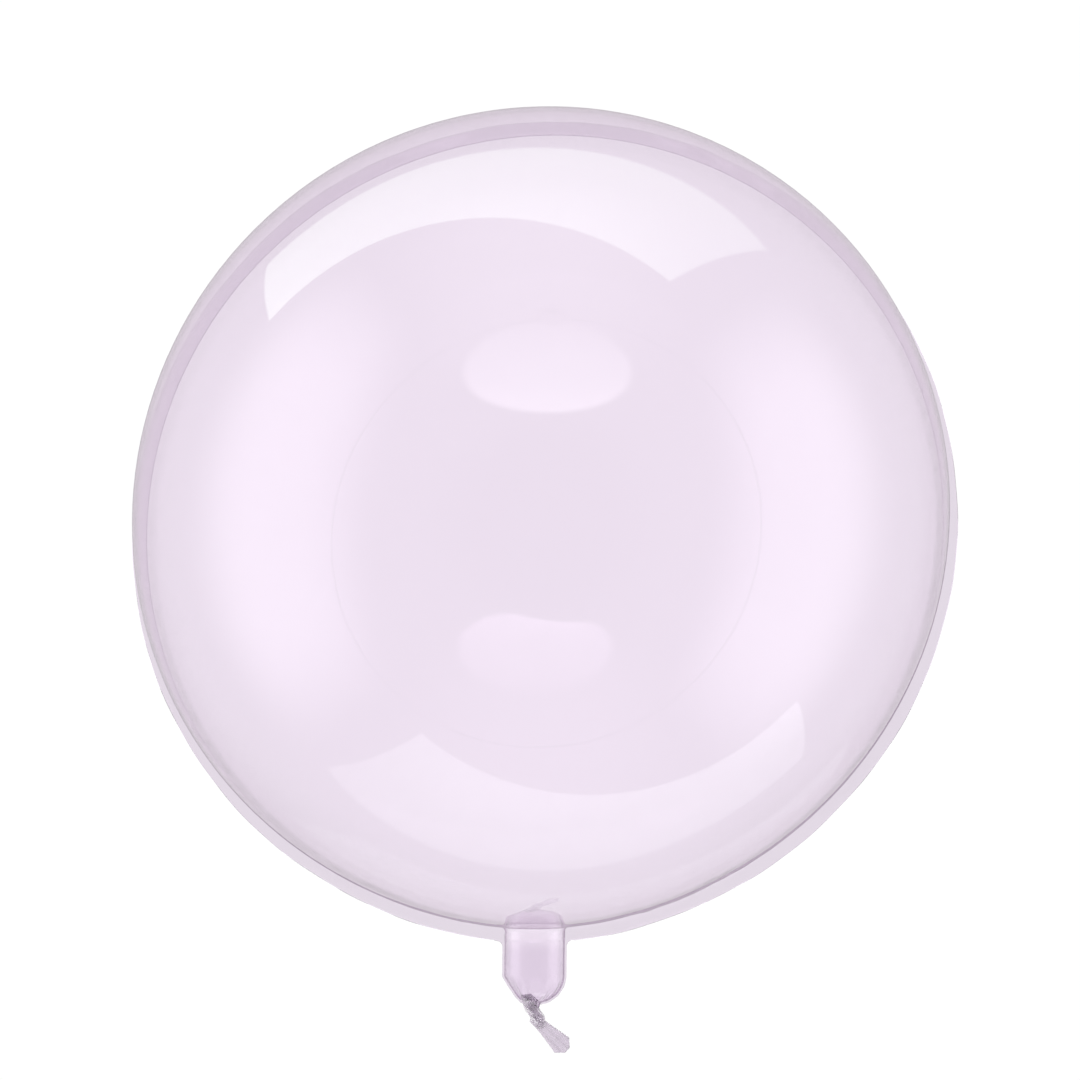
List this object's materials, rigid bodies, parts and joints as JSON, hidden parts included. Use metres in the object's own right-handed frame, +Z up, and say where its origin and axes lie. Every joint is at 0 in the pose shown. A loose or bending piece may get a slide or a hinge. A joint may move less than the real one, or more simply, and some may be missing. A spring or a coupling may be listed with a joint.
{
  "type": "clear bubble balloon",
  "caption": "Clear round bubble balloon of welded film, lying loose, with a flat seam flange, a short gathered filling neck, a knot and a small flared tail.",
  "frame": {"origin": "centre of the small flat spot on the back of the bubble, where the balloon lies on the ground", "axes": "+Z up through the bubble's centre, square to the weld's plane; -Y along the filling neck, from the bubble to the knot; +X to the right when looking along +Y"},
  "size_m": [0.472, 0.5365, 0.4586],
  "materials": {
    "clear_film": "clear stretchy plastic film, glossy, with a very faint lilac tint"
  },
  "bodies": {
    "root": {"bubble_envelope": "clear_film"}
  },
  "joints": []
}
